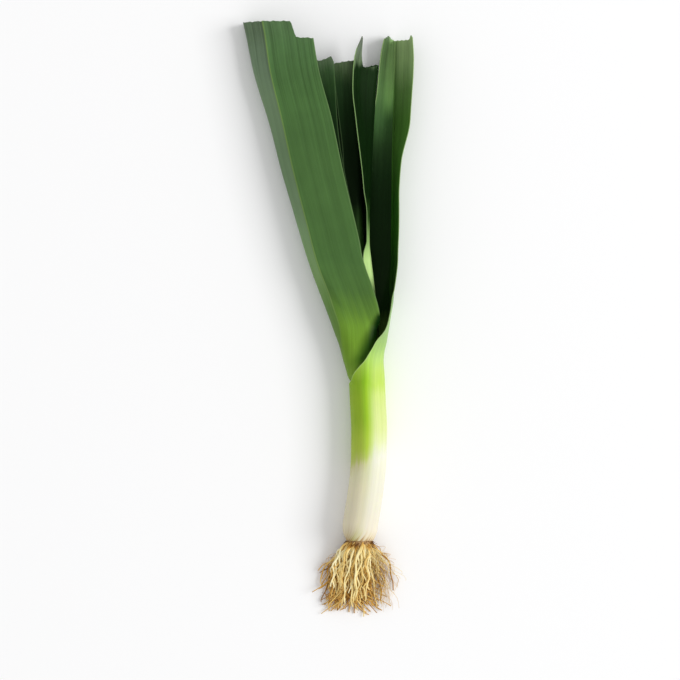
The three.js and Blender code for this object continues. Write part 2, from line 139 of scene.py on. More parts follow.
def leaf_faces(leaf, y, u):
    """Outer and inner face of a leaf at heights y and shares u, 1 at the front margin, 0 on the
    keel and -1 at the back margin, with each point's distance across from the keel and from the
    nearest margin. Up to the mouth a section is a full circle round the shaft's axis, and above
    it two half sections that start at the apex. The inner face is the outer one moved inward by
    the wall, slow waves lift the blade by up to 0.4 mm, and a flare lifts its front margin by the
    given height."""
    side = leaf["side"]
    mouth = leaf["mouth"]
    radius = SHAFT_RADIUS - SHEATH_PITCH * leaf["order"]
    closed = y <= mouth
    middle = smooth(AXIS_X, y)
    taper = smooth(TAPER, y)
    angle = np.pi * u
    mouth_x = float(smooth(AXIS_X, np.array(float(mouth))))
    apex_x = smooth([[mouth, mouth_x + side * radius], *leaf["apex"]], y)
    apex_z = smooth(leaf["height"], y)
    keel = smooth(leaf["keel"], y)
    shift = np.maximum(0, side * (apex_x - middle) - radius)
    front_width = smooth(leaf["front"]["width"], y) - keel
    back_width = smooth(leaf["back"]["width"], y) + keel
    s = keel + u * np.where(u >= 0, front_width, back_width)
    round1 = smooth(leaf["front"]["round1"], y)
    front = half_section(leaf["front"], y, np.maximum(s, 0), round1, shift)
    drop = apex_z - smooth(leaf["base"], y)
    back = half_section(leaf["back"], y, np.maximum(-s, 0), drop, shift)
    blade_x = apex_x - side * np.where(s >= 0, front[0], back[0])
    blade_z = apex_z + np.where(s >= 0, front[1], -back[1])
    x = np.where(closed, middle + side * radius * taper * np.cos(angle), blade_x)
    z = np.where(closed, AXIS_HEIGHT + radius * taper * np.sin(angle), blade_z)
    across = np.where(closed, radius * taper * angle, s - keel)
    margin = np.where(u >= 0, front_width * (1 - u), back_width * (1 + u))
    margin = np.where(closed, 60.0, margin)

    dx = np.gradient(x, axis=1)
    dz = np.gradient(z, axis=1)
    size = np.hypot(dx, dz)
    out_x = np.where(closed, side * np.cos(angle), -side * dz / size)
    out_z = np.where(closed, np.sin(angle), side * dx / size)
    draw = np.random.default_rng(40 + leaf["order"])
    lift = np.zeros_like(x)
    for length, breadth, high in ((151, 55, 0.16), (83, -34, 0.08), (47, 21, 0.04), (23, -17, 0.02)):
        lift += high * np.sin(2 * np.pi * (y / length + across / breadth + draw.random()))
    lift += 0.1 * np.sin(2 * np.pi * (y / 63 + draw.random())) * np.exp(-margin / 6)
    lift *= np.clip((y - mouth) / 70, 0, 1) ** 2
    if "flare" in leaf:
        lift += smooth(leaf["flare"], y) * np.exp(-margin / 7) * (u > 0)
    x = x + out_x * lift
    z = z + out_z * lift

    opened = np.clip((y - mouth) / 40, 0, 1)
    thickest = SHEATH_WALL + (BLADE_THICKNESS - SHEATH_WALL) * opened
    thinnest = MARGIN_THICKNESS + (SHEATH_WALL - MARGIN_THICKNESS) * np.exp(-(y - mouth) / 5)
    wall = thinnest + (thickest - thinnest) * (1 - np.abs(u) ** 4)
    wall = np.where(closed, SHEATH_WALL * taper, wall)
    outer = np.stack([x, y, np.maximum(z, 0)], 2)
    inner = np.stack([x - out_x * wall, y, z - out_z * wall], 2)
    return outer, inner, across, margin


def strips(ids):
    """The four corners of every cell of a grid of vertex numbers, in order round the cell."""
    corners = [ids[:-1, :-1], ids[:-1, 1:], ids[1:, 1:], ids[1:, :-1]]
    return np.stack([c.ravel() for c in corners], 1)


def shell(name, points, quads, uv, values):
    """Mesh object out of vertices in millimetres of the plant, four-sided faces, one UV pair for
    each corner of each face, and named values for each vertex. Unused vertices are dropped."""
    used, numbers = np.unique(quads, return_inverse=True)
    numbers = numbers.reshape(quads.shape)
    placed = (points[used] + (*PLANT_AT, 0.0)) / 1000
    mesh = bpy.data.meshes.new(name)
    mesh.vertices.add(len(placed))
    mesh.vertices.foreach_set("co", placed.astype(np.float32).ravel())
    mesh.loops.add(numbers.size)
    mesh.loops.foreach_set("vertex_index", numbers.astype(np.int32).ravel())
    mesh.polygons.add(len(numbers))
    mesh.polygons.foreach_set("loop_start", np.arange(0, numbers.size, 4, dtype=np.int32))
    mesh.update(calc_edges=True)
    layer = mesh.uv_layers.new(name="blade")
    layer.uv.foreach_set("vector", (uv / 1000).astype(np.float32).ravel())
    for key, value in values.items():
        attribute = mesh.attributes.new(key, "FLOAT", "POINT")
        attribute.data.foreach_set("value", value[used].astype(np.float32))
    mesh.shade_smooth()
    mesh.set_sharp_from_angle(angle=math.radians(48))
    made = bpy.data.objects.new(name, mesh)
    bpy.context.scene.collection.objects.link(made)
    return made


def leaf_shell(name, leaf, columns):
    """One whole leaf as a closed shell: its outer face, its inner face, the two margins above the
    mouth, the ring at its foot and the cut edge at its top. Rows stand close together above the
    mouth, and the last ones are stretched so that they end on the trimmed outline."""
    share = np.linspace(1, -1, columns + 1)
    u = np.sign(share) * np.abs(share) ** 1.15
    end = np.interp(-u, -np.array(leaf["end"])[::-1, 0], np.array(leaf["end"])[::-1, 1])
    end = end + 0.25 * np.sin(31 * u) + 0.18 * np.sin(57 * u + 1)
    mouth = leaf["mouth"]
    low = np.arange(leaf["foot"], mouth - 1, 2.2)
    slant = np.arange(mouth, mouth + 45, 0.9)
    split = end.min() - 22
    rise = np.arange(mouth + 45, split, 1.7)
    top = np.linspace(split, end.min(), 14)
    rows = np.concatenate([low, slant, rise, top])
    stretch = np.where(rows > split, (rows - split) / (end.min() - split), 0)[:, None]
    y = rows[:, None] + stretch * (end - end.min())[None, :]
    outer, inner, across, margin = leaf_faces(leaf, y, np.broadcast_to(u, y.shape))

    count = y.size
    ids = np.arange(count).reshape(y.shape)
    ids[rows <= mouth, -1] = ids[rows <= mouth, 0]
    first = int(np.argmax(rows >= mouth))
    rim = [strips(np.stack([ids[first:, 0] + count, ids[first:, 0]], 1))]
    rim.append(strips(np.stack([ids[first:, -1], ids[first:, -1] + count], 1)))
    rim.append(strips(np.stack([ids[0] + count, ids[0]], 0)))
    rim.append(strips(np.stack([ids[-1], ids[-1] + count], 0)))
    rim = np.concatenate(rim)
    quads = np.concatenate([strips(ids), strips(ids + count)[:, ::-1], rim])
    if leaf["side"] < 0:
        quads = quads[:, ::-1]
    cells = strips(np.arange(count).reshape(y.shape))
    flat_across = across.ravel()
    flat_y = y.ravel()
    grid_uv = np.stack([flat_across[cells], flat_y[cells]], 2)
    rim_uv = np.stack([flat_across[rim % count], flat_y[rim % count]], 2)
    back_uv = grid_uv[:, ::-1]
    uv = np.concatenate([grid_uv, back_uv, rim_uv])
    if leaf["side"] < 0:
        uv = uv[:, ::-1]
    points = np.concatenate([outer.reshape(-1, 3), inner.reshape(-1, 3)])
    values = {
        "margin": np.tile(margin.ravel(), 2),
        "inside": np.repeat([0.0, 1.0], count),
    }
    return shell(name, points, quads, uv, values)


def paint(red, green, blue):
    """Scene colour out of the 0 to 255 values that a screen shows."""
    share = np.array([red, green, blue]) / 255
    low = share / 12.92
    high = ((share + 0.055) / 1.055) ** 2.4
    return (*np.where(share <= 0.04045, low, high), 1.0)


def add_node(tree, kind, inputs=None, **settings):
    """New node with its settings, each input a fixed value or the socket that feeds it."""
    made = tree.nodes.new(kind)
    for key, value in settings.items():
        setattr(made, key, value)
    for key, value in (inputs or {}).items():
        if isinstance(value, bpy.types.NodeSocket):
            tree.links.new(value, made.inputs[key])
        else:
            made.inputs[key].default_value = value
    return made


def calc(tree, operation, a, b=0.0):
    """Sum, product or other result of two numbers, as a socket."""
    made = add_node(tree, "ShaderNodeMath", {0: a, 1: b}, operation=operation)
    return made.outputs[0]


def rescale(tree, value, low, high, to_low=0.0, to_high=1.0):
    """Value carried softly from the range low to high onto the range to_low to to_high."""
    inputs = {0: value, 1: low, 2: high, 3: to_low, 4: to_high}
    made = add_node(tree, "ShaderNodeMapRange", inputs, interpolation_type="SMOOTHSTEP")
    return made.outputs[0]


def blended(tree, factor, a, b, blend_type="MIX"):
    """Colour a turned toward colour b by the factor."""
    inputs = {0: factor, 6: a, 7: b}
    made = add_node(tree, "ShaderNodeMix", inputs, data_type="RGBA", blend_type=blend_type)
    return made.outputs[2]


def ramp(tree, factor, stops):
    """Colour along a list of [place, colour], in straight runs."""
    made = add_node(tree, "ShaderNodeValToRGB", {0: factor})
    places = made.color_ramp.elements
    places[1].position = stops[-1][0]
    places[1].color = stops[-1][1]
    places[0].position = stops[0][0]
    places[0].color = stops[0][1]
    for place, color in stops[1:-1]:
        places.new(place).color = color
    return made.outputs[0]


def noise(tree, place, scale, detail):
    """Cloudy noise from 0 to 1 at a place, as a socket."""
    inputs = {"Vector": place, "Scale": scale, "Detail": detail}
    return add_node(tree, "ShaderNodeTexNoise", inputs).outputs[0]


def bump(tree, height, strength, distance):
    """Normal bent by a height that reaches the given distance in metres, as a socket."""
    inputs = {"Height": height, "Strength": strength, "Distance": distance}
    return add_node(tree, "ShaderNodeBump", inputs).outputs[0]


def shader_group(name, inputs, outputs):
    """Empty node group with its named sockets, and the nodes that hold them inside it."""
    tree = bpy.data.node_groups.new(name, "ShaderNodeTree")
    for key, kind in inputs.items():
        tree.interface.new_socket(name=key, in_out="INPUT", socket_type=kind)
    for key, kind in outputs.items():
        tree.interface.new_socket(name=key, in_out="OUTPUT", socket_type=kind)
    return tree, tree.nodes.new("NodeGroupInput"), tree.nodes.new("NodeGroupOutput")


NUMBER = "NodeSocketFloat"
COLOR = "NodeSocketColor"

# The marks that run along every leaf: fine veins about a millimetre apart, broader streaks, slow
# mottling, and the height above the disc as a share of the tallest leaf's, ragged across the leaf.
LEAF_TOP = 460
veins, given, made = shader_group(
    "leaf_veins", {}, {"Along": NUMBER, "Across": NUMBER, "Fine": NUMBER, "Broad": NUMBER, "Mottle": NUMBER}
)
place = add_node(veins, "ShaderNodeUVMap", uv_map="blade")
parts = add_node(veins, "ShaderNodeSeparateXYZ", {0: place.outputs[0]})
scattered = []
for wide, high, shift in ((1150, 7, 0.0), (260, 5, 3.0), (420, 16, 7.0)):
    inputs = {0: place.outputs[0], 1: (wide, high, 1), 2: (shift, shift, shift)}
    spread = add_node(veins, "ShaderNodeVectorMath", inputs, operation="MULTIPLY_ADD")
    scattered.append(noise(veins, spread.outputs[0], 1.0, 2.0))
where = add_node(veins, "ShaderNodeTexCoord")
mottle = noise(veins, where.outputs["Object"], 34.0, 3.0)
ragged = calc(veins, "MULTIPLY", calc(veins, "SUBTRACT", scattered[2], 0.5), 0.018)
lengthwise = calc(veins, "DIVIDE", calc(veins, "ADD", parts.outputs[1], ragged), LEAF_TOP / 1000)
veins.links.new(lengthwise, made.inputs["Along"])
veins.links.new(parts.outputs[0], made.inputs["Across"])
veins.links.new(scattered[0], made.inputs["Fine"])
veins.links.new(scattered[1], made.inputs["Broad"])
veins.links.new(mottle, made.inputs["Mottle"])

# The skin over a leaf's colour: lighter and darker streaks, a pale thin margin, and gloss and
# relief that follow the veins.
skin, given, made = shader_group(
    "leaf_skin",
    {"Color": COLOR, "Rim": COLOR, "Rim amount": NUMBER, "Streaks": NUMBER, "Fine": NUMBER, "Broad": NUMBER,
     "Mottle": NUMBER},
    {"Color": COLOR, "Roughness": NUMBER, "Height": NUMBER},
)
streaks = 0.0
for key, share in (("Fine", 0.4), ("Broad", 0.6), ("Mottle", 0.3)):
    swing = calc(skin, "SUBTRACT", given.outputs[key], 0.5)
    streaks = calc(skin, "ADD", streaks, calc(skin, "MULTIPLY", swing, share))
level = calc(skin, "ADD", calc(skin, "MULTIPLY", streaks, given.outputs["Streaks"]), 1.0)
grey = add_node(skin, "ShaderNodeCombineColor", {0: level, 1: level, 2: level})
streaked = blended(skin, 1.0, given.outputs["Color"], grey.outputs[0], "MULTIPLY")
margin = add_node(skin, "ShaderNodeAttribute", attribute_name="margin")
near = rescale(skin, margin.outputs["Fac"], 0.2, 1.2, 1.0, 0.0)
near = calc(skin, "MULTIPLY", near, given.outputs["Rim amount"])
rimmed = blended(skin, near, streaked, given.outputs["Rim"])
skin.links.new(rimmed, made.inputs["Color"])
dull = calc(skin, "ADD", calc(skin, "MULTIPLY", given.outputs["Broad"], 0.16), 0.36)
skin.links.new(dull, made.inputs["Roughness"])
relief = calc(skin, "ADD", given.outputs["Fine"], calc(skin, "MULTIPLY", given.outputs["Broad"], 1.6))
skin.links.new(relief, made.inputs["Height"])


def leaf_material(name, faces, rim, rim_amount, gloss, crease=None, painted_shadow=None, far=None, painted_light_from=None):
    """Leaf finish. faces holds colours up the leaf, as lists of [millimetres above the disc, red,
    green, blue], for the outer face before and behind the keel and the inner face before and
    behind it; where a leaf lies in shade, these colours carry painted shade. gloss is the specular
    level. crease is (colour, half width, start) of a line along the keel. fold is (colours, x, y,
    slope) of a painted shadow: dark green that grows across a slanted line through x and y, where
    the leaf tucks under the outer one and that leaf's standing margin shades it. far is a list of
    tints up the tube for its side away from the keel and the lamp, where the green also reaches
    lower: painted shade on the white part of the tube, and the leaf's own darker green with painted
    shade on the green part. Red, green and blue each turn over a span of their own. midrib is the
    height above which the inner face is given painted light close behind the keel. rim is the
    colour of the leaf's thin margin, laid on by rim_amount."""
    material = bpy.data.materials.new(name)
    material.use_nodes = True
    tree = material.node_tree
    surface = tree.nodes["Principled BSDF"]
    marks = add_node(tree, "ShaderNodeGroup", node_tree=veins)
    face = add_node(tree, "ShaderNodeAttribute", attribute_name="inside")
    up = marks.outputs["Along"]
    from_keel = calc(tree, "ABSOLUTE", marks.outputs["Across"])
    if far:
        drop = rescale(tree, up, 100 / LEAF_TOP, 150 / LEAF_TOP, 340 / LEAF_TOP, 0.0)
        drop = calc(tree, "MULTIPLY", drop, rescale(tree, up, 30 / LEAF_TOP, 58 / LEAF_TOP))
        beyond = calc(tree, "SUBTRACT", from_keel, 0.025)
        up = calc(tree, "ADD", up, calc(tree, "MULTIPLY", beyond, drop))
    tones = [ramp(tree, up, [[y / LEAF_TOP, paint(*c)] for y, *c in stops]) for stops in faces]
    before = rescale(tree, marks.outputs["Across"], -0.0014, 0.0006)
    outer_color = blended(tree, before, tones[1], tones[0])
    if crease:
        line, half_width, start = crease
        on_line = rescale(tree, from_keel, half_width * 0.3 / 1000, half_width / 1000, 0.75, 0.0)
        grown = rescale(tree, up, start / LEAF_TOP, (start + 45) / LEAF_TOP)
        outer_color = blended(tree, calc(tree, "MULTIPLY", on_line, grown), outer_color, line)
    # Painted shadow: dark green laid across the leaf beside a slanted line, where the outer leaf's standing
    # margin shades it, and the pale rim gives way under it.
    if painted_shadow:
        stops, x, y, slope = painted_shadow
        shadow_green = ramp(tree, up, [[at / LEAF_TOP, paint(*c)] for at, *c in stops])
        where = add_node(tree, "ShaderNodeTexCoord")
        spot = add_node(tree, "ShaderNodeSeparateXYZ", {0: where.outputs["Object"]})
        right = calc(tree, "SUBTRACT", spot.outputs[0], (x + PLANT_AT[0]) / 1000)
        ahead = calc(tree, "SUBTRACT", spot.outputs[1], (y + PLANT_AT[1]) / 1000)
        above = calc(tree, "SUBTRACT", spot.outputs[1], PLANT_AT[1] / 1000)
        beside = calc(tree, "SUBTRACT", right, calc(tree, "MULTIPLY", ahead, slope))
        beside = calc(tree, "DIVIDE", beside, rescale(tree, above, 0.175, 0.204, 1.0, 0.45))
        in_shadow = rescale(tree, beside, -0.0065, 0.0075)
        in_shadow = calc(tree, "MULTIPLY", in_shadow, rescale(tree, above, 0.150, 0.163))
        in_shadow = calc(tree, "MULTIPLY", in_shadow, rescale(tree, above, 0.199, 0.206, 1.0, 0.0))
        outer_color = blended(tree, calc(tree, "MULTIPLY", in_shadow, before), outer_color, shadow_green)
        rim_amount = calc(tree, "MULTIPLY", calc(tree, "SUBTRACT", 1.0, in_shadow), rim_amount)
    # Painted shade on the tube's side away from the keel and the lamp, laid on by the far tints; on the
    # green part they also hold the leaf's own darker green.
    if far:
        on_tube = rescale(tree, up, 140 / LEAF_TOP, 185 / LEAF_TOP, 1.0, 0.0)
        spans = [(0.018, 0.030, (0, 1, 1)), (0.0205, 0.0325, (1, 0, 1)), (0.0185, 0.0272, (1, 1, 0))]
        for low, high, kept in spans:
            turned = calc(tree, "MULTIPLY", rescale(tree, from_keel, low, high), on_tube)
            stops = [[y / LEAF_TOP, (*[max(k, c) for k, c in zip(kept, tint)], 1)] for y, tint in far]
            shaded = blended(tree, 1.0, outer_color, ramp(tree, up, stops), "MULTIPLY")
            outer_color = blended(tree, turned, outer_color, shaded)
    inner_color = blended(tree, before, tones[3], tones[2])
    # Painted light: the inner face is lightened close behind the keel, from the given height up, where the
    # inside of the folded blade is lit.
    if painted_light_from:
        close = rescale(tree, from_keel, 0.003, 0.015, 1.0, 0.0)
        grown = rescale(tree, up, painted_light_from / LEAF_TOP, (painted_light_from + 25) / LEAF_TOP)
        behind = calc(tree, "SUBTRACT", 1.0, before)
        close = calc(tree, "MULTIPLY", calc(tree, "MULTIPLY", close, grown), behind)
        pale = blended(tree, 1.0, inner_color, (3.1, 2.9, 2.9, 1), "MULTIPLY")
        inner_color = blended(tree, close, inner_color, pale)
    color = blended(tree, face.outputs["Fac"], outer_color, inner_color)
    streaks = rescale(tree, up, 0.13, 0.4, 0.25, 0.85)
    streaks = calc(tree, "ADD", streaks, rescale(tree, up, 0.72, 0.96, 0.0, 0.9))
    inputs = {"Color": color, "Rim": rim, "Rim amount": rim_amount, "Streaks": streaks}
    for key in ("Fine", "Broad", "Mottle"):
        inputs[key] = marks.outputs[key]
    finish = add_node(tree, "ShaderNodeGroup", inputs, node_tree=skin)
    relief = bump(tree, finish.outputs["Height"], 0.3, 0.0003)
    tree.links.new(finish.outputs["Color"], surface.inputs["Base Color"])
    tree.links.new(finish.outputs["Roughness"], surface.inputs["Roughness"])
    tree.links.new(relief, surface.inputs["Normal"])
    surface.inputs["Specular IOR Level"].default_value = gloss
    surface.inputs["Subsurface Weight"].default_value = 0.12
    surface.inputs["Subsurface Radius"].default_value = (0.5, 0.6, 0.25)
    surface.inputs["Subsurface Scale"].default_value = 0.004
    surface.inputs["Specular Tint"].default_value = (0.7, 0.9, 0.6, 1)
    return material


outer_leaf = leaf_shell("outer_leaf_skin", OUTER_LEAF, 92)
SHEATH_OUTSIDE = [
    [0, 178, 146, 104], [1.5, 206, 184, 146], [4, 222, 210, 180], [10, 225, 217, 196],
    [30, 222, 218, 199], [62, 226, 225, 203], [71, 226, 226, 208], [77, 220, 224, 192],
    [84, 216, 224, 168], [96, 211, 223, 148], [114, 205, 220, 138], [130, 197, 217, 122],
    [139, 183, 212, 92], [152, 181, 209, 100], [162, 172, 204, 110], [170, 158, 192, 108],
    [179, 146, 178, 106], [190, 146, 178, 116], [203, 140, 174, 110], [215, 108, 146, 80],
    [228, 78, 114, 52], [250, 76, 110, 56], [446, 76, 108, 60],
]
outer_leaf.data.materials.append(leaf_material(
    "sheath_and_blade",
    [
        SHEATH_OUTSIDE,
        SHEATH_OUTSIDE,
        # Inner face colours with painted shade: very dark green low in the gutter of the folded blade,
        # lightening toward its top.
        [[0, 232, 226, 206], [100, 214, 222, 154], [170, 120, 160, 70], [205, 36, 64, 24],
         [250, 30, 68, 16], [303, 46, 100, 26], [347, 74, 122, 46], [374, 72, 113, 46],
         [401, 88, 122, 64], [428, 134, 163, 106], [446, 146, 172, 118]],
        [[0, 232, 226, 206], [100, 214, 222, 154], [170, 120, 160, 70], [205, 26, 50, 18],
         [250, 14, 36, 10], [300, 18, 44, 14], [325, 24, 52, 20], [350, 44, 74, 36], [374, 64, 102, 52],
         [400, 84, 118, 66], [428, 80, 106, 64], [446, 84, 108, 70]],
    ],
    # Painted light on the inner face close behind the keel from 372 mm up.
    paint(168, 198, 130), 0.5, 0.1, painted_light_from=372,
    # Far tints up the tube: painted shade on its white part, and painted shade with the leaf's own darker
    # green on its green part.
    far=[[0, (0.7, 0.64, 0.52)], [6, (0.82, 0.78, 0.68)], [16, (0.98, 0.95, 0.86)],
         [48, (0.98, 0.93, 0.81)], [63, (0.91, 0.89, 0.73)], [70, (0.84, 0.8, 0.55)],
         [76, (0.66, 0.72, 0.26)], [84, (0.58, 0.69, 0.17)], [96, (0.57, 0.69, 0.18)],
         [112, (0.47, 0.62, 0.12)], [130, (0.51, 0.64, 0.15)], [150, (0.56, 0.67, 0.3)]],
))
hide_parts("outer_leaf")
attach(outer_leaf, "root")

# Broad leaf. The second leaf, whose wide blade lies over the others with its keel to the left.
# Tender tissue with a grey waxy bloom behind the keel; its tube is fixed to the disc inside the
# outer leaf's, and the knife left a step in its top.
BROAD_LEAF = {
    "order": 1, "side": -1, "mouth": 141, "foot": 1.9,
    "apex": [[144, -15.1], [147, -16.4], [153, -18], [159, -19.9], [174, -23.9], [183, -27.2], [214, -38.7],
             [245, -50], [275, -59.5], [330, -75.6], [374, -87], [419, -100.5], [449, -106.7],
             [461, -109.5]],
    "height": [[141, AXIS_HEIGHT], [210, AXIS_HEIGHT], [282, 15], [374, 13.5], [449, 11], [461, 11]],
    "base": [[141, 1.757], [215, 1.757], [260, 0.6], [320, 0]],
    "keel": [[141, 0], [175, 9], [195, 14.7], [245, 15.3], [282, 17], [374, 20.4], [449, 25.4],
             [461, 26]],
    "front": {
        "round1": [[141, 14], [200, 14], [245, 8]],
        "bend1": [[141, 0], [200, 0], [222, 40], [245, 58], [282, 52], [374, 45], [449, 40]],
        "flat": [[200, 5], [214, 5], [245, 8.6], [282, 11], [374, 13.5], [449, 18]],
        "round2": [[141, 14], [200, 14], [245, 4.5], [282, 2.5]],
        "bend2": [[141, -90], [172, -90], [182, -60], [190, -30], [198, 0], [461, 2]],
        "width": [[141, 44], [147, 44], [160, 40], [175, 42], [190, 49], [198, 53.2], [206, 54.9],
                  [214, 55.9], [229, 56.7], [241, 56.9], [252, 57.3], [266, 59.2], [282, 60.4],
                  [374, 65], [449, 68]],
    },
    "back": {
        "bend1": [[141, 0]],
        "round2": [[141, 14]],
        "bend2": [[141, -90], [150, -90], [160, 0]],
        "width": [[141, 44], [147, 40], [155, 33], [165, 31], [195, 29.3], [245, 28.7], [282, 27],
                  [374, 24], [449, 19]],
    },
    "end": [[-1, 461], [0.6, 461], [0.635, 446.5], [1, 446]],
}
broad_leaf = leaf_shell("broad_leaf_skin", BROAD_LEAF, 96)
# Inner face colours; the very dark green near 185 mm is painted shade in the gap beside the outer leaf's
# wall.
BROAD_INSIDE = [
    [0, 236, 230, 210], [100, 220, 228, 160], [160, 120, 160, 70], [185, 22, 50, 12], [230, 40, 70, 28],
    [461, 62, 94, 52],
]
broad_leaf.data.materials.append(leaf_material(
    "broad_blade",
    [
        [[0, 236, 230, 210], [80, 226, 230, 180], [140, 122, 156, 54], [160, 110, 146, 46],
         [178, 110, 148, 46], [190, 108, 146, 50], [204, 92, 128, 52], [224, 76, 109, 54],
         [250, 72, 105, 55], [330, 72, 104, 56], [400, 72, 105, 58], [440, 74, 105, 63],
         [461, 80, 107, 70]],
        [[0, 236, 230, 210], [140, 130, 160, 66], [175, 102, 134, 58], [205, 96, 130, 66],
         [232, 114, 146, 88], [270, 114, 143, 100], [300, 107, 132, 97], [345, 104, 129, 95],
         [390, 112, 136, 103], [425, 108, 130, 103], [445, 98, 118, 92], [461, 94, 114, 87]],
        BROAD_INSIDE,
        BROAD_INSIDE,
    ],
    paint(128, 158, 104), 0.4, 0.09,
    crease=(paint(122, 152, 84), 1.1, 172),
    # Painted shadow along the outer leaf's margin: its colours up the leaf, a point on its line, and the
    # line's slope.
    painted_shadow=([[160, 54, 92, 18], [174, 38, 74, 14], [185, 10, 42, 5]], -10.6, 160.9, 0.49),
))
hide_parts("broad_leaf")
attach(broad_leaf, "root")

# Third leaf. Right-hand leaf inside the broad one, with one margin standing up as a pale line in
# the middle of the fan and torn to a spike at its top. Tender tissue, its tube fixed to the disc.
THIRD_LEAF = {
    "order": 2, "side": 1, "mouth": 172, "foot": 3.2,
    "apex": [[200, 10.8], [225, 7.8], [250, 4.7], [267, 3.4], [290, 3.4], [312, 4.5], [339, 5.5],
             [375, 7.5], [400, 9], [414, 10.5], [430, 12.5], [447, 17]],
    "height": [[172, AXIS_HEIGHT], [250, AXIS_HEIGHT], [267, 14.5], [290, 13], [339, 12], [380, 13],
               [427, 11]],
    "base": [[172, 3.757], [290, 4], [339, 5.5], [380, 7.5], [427, 6]],
    "keel": [[172, 0], [250, -6], [430, -3]],
    "front": {
        "round1": [[172, 12], [250, 12], [290, 8], [430, 5]],
        "bend1": [[172, 0], [205, 0], [225, 18], [250, 45], [267, 80], [290, 80], [312, 66], [339, 60],
                  [380, 40], [427, 20]],
        "flat": [[172, 0], [300, 8], [339, 9], [375, 11.2], [400, 12.6], [414, 12.2], [430, 11.1]],
        "round2": [[172, 12], [260, 12], [300, 6], [430, 5]],
        "bend2": [[172, -90], [195, -90], [205, 0], [225, 18], [250, 45], [267, 80], [290, 82],
                  [312, 74], [339, 68], [380, 58], [427, 50]],
        "width": [[172, 37.7], [178, 30], [190, 24], [205, 21], [225, 18], [250, 14.5], [267, 15],
                  [290, 16.5], [312, 20], [339, 24.8], [375, 28.3], [400, 30.6], [414, 30.7], [427, 30.3]],
    },
    "back": {
        "bend1": [[172, 0]],
        "round2": [[172, 12]],
        "bend2": [[172, -90], [190, -90], [200, 0]],
        "width": [[172, 37.7], [180, 32], [200, 27], [250, 24], [430, 22]],
    },
    "end": [[-1, 420], [-0.1, 424], [0.5, 420.5], [0.62, 421.5], [0.7, 430], [0.8, 440], [0.88, 448],
            [0.93, 446], [1, 436]],
}
third_leaf = leaf_shell("third_leaf_skin", THIRD_LEAF, 64)
THIRD_INSIDE = [
    [0, 236, 230, 210], [120, 220, 228, 160], [200, 110, 150, 70], [260, 40, 68, 30], [360, 34, 62, 28],
    [447, 52, 82, 42],
]
third_leaf.data.materials.append(leaf_material(
    "upright_blade",
    [
        # The outer face's very dark greens, from 190 to 218 mm and from 285 to 420 mm, are painted shade
        # where the leaf lies deep in the fan under the broad leaf and the outer leaf's wall.
        [[0, 236, 230, 210], [100, 224, 230, 170], [165, 90, 124, 48], [190, 10, 32, 6],
         [218, 28, 56, 16], [236, 184, 218, 138], [248, 186, 220, 140], [268, 150, 190, 110],
         [285, 50, 84, 34], [305, 12, 32, 9], [375, 13, 32, 10], [420, 20, 40, 16], [426, 88, 106, 77],
         [436, 100, 113, 94], [447, 94, 100, 89]],
        [[0, 236, 230, 210], [100, 224, 230, 170], [180, 176, 208, 116], [245, 130, 168, 94],
         [300, 78, 112, 60], [447, 66, 98, 54]],
        THIRD_INSIDE,
        THIRD_INSIDE,
    ],
    paint(134, 166, 106), 0.85, 0.03,
))
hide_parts("third_leaf")
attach(third_leaf, "root")

# Fourth leaf. Left-hand leaf mostly under the broad blade, whose tip shows beside it, its green
# darkened by painted shade. Tender tissue, its tube fixed to the disc inside the third leaf's.
FOURTH_LEAF = {
    "order": 3, "side": -1, "mouth": 190, "foot": 4.3,
    "apex": [[200, -12.6], [215, -16.5], [245, -25.5], [282, -35], [345, -48], [427, -60]],
    "height": [[190, AXIS_HEIGHT], [282, 16], [345, 17], [427, 17]],
    "base": [[190, 5.757], [345, 7]],
    "keel": [[190, 0], [245, 8], [427, 10]],
    "front": {
        "round1": [[190, 10]],
        "bend1": [[190, 0]],
        "round2": [[190, 10]],
        "bend2": [[190, -90], [245, -90], [275, 0]],
        "width": [[190, 31.4], [345, 31.7], [427, 37]],
    },
    "back": {
        "bend1": [[190, 0]],
        "round2": [[190, 10]],
        "bend2": [[190, -90], [215, -90], [235, 0]],
        "width": [[190, 31.4], [200, 27], [212, 21], [245, 20], [427, 22]],
    },
    "end": [[-1, 424], [0, 425], [0.6, 426.5], [0.93, 430], [1, 425]],
}
fourth_leaf = leaf_shell("fourth_leaf_skin", FOURTH_LEAF, 60)
FOURTH_INSIDE = [
    [0, 236, 230, 210], [120, 220, 228, 160], [210, 110, 150, 70], [280, 48, 78, 38], [430, 60, 92, 48],
]
fourth_leaf.data.materials.append(leaf_material(
    "dark_blade_painted_shade",
    [
        # The outer face's dark greens from 290 to 416 mm are painted shade where the leaf lies deep in the
        # fan.
        [[0, 236, 230, 210], [110, 224, 230, 170], [190, 170, 204, 96], [240, 66, 98, 44],
         [290, 20, 40, 14], [350, 14, 32, 11], [390, 22, 44, 18], [404, 34, 58, 28], [416, 50, 75, 43],
         [423, 70, 91, 62], [430, 84, 100, 78]],
        [[0, 236, 230, 210], [110, 224, 230, 170], [190, 170, 204, 96], [250, 86, 122, 60],
         [430, 70, 102, 56]],
        FOURTH_INSIDE,
        FOURTH_INSIDE,
    ],
    paint(96, 126, 80), 0.35, 0.06,
))
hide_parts("fourth_leaf")
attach(fourth_leaf, "root")

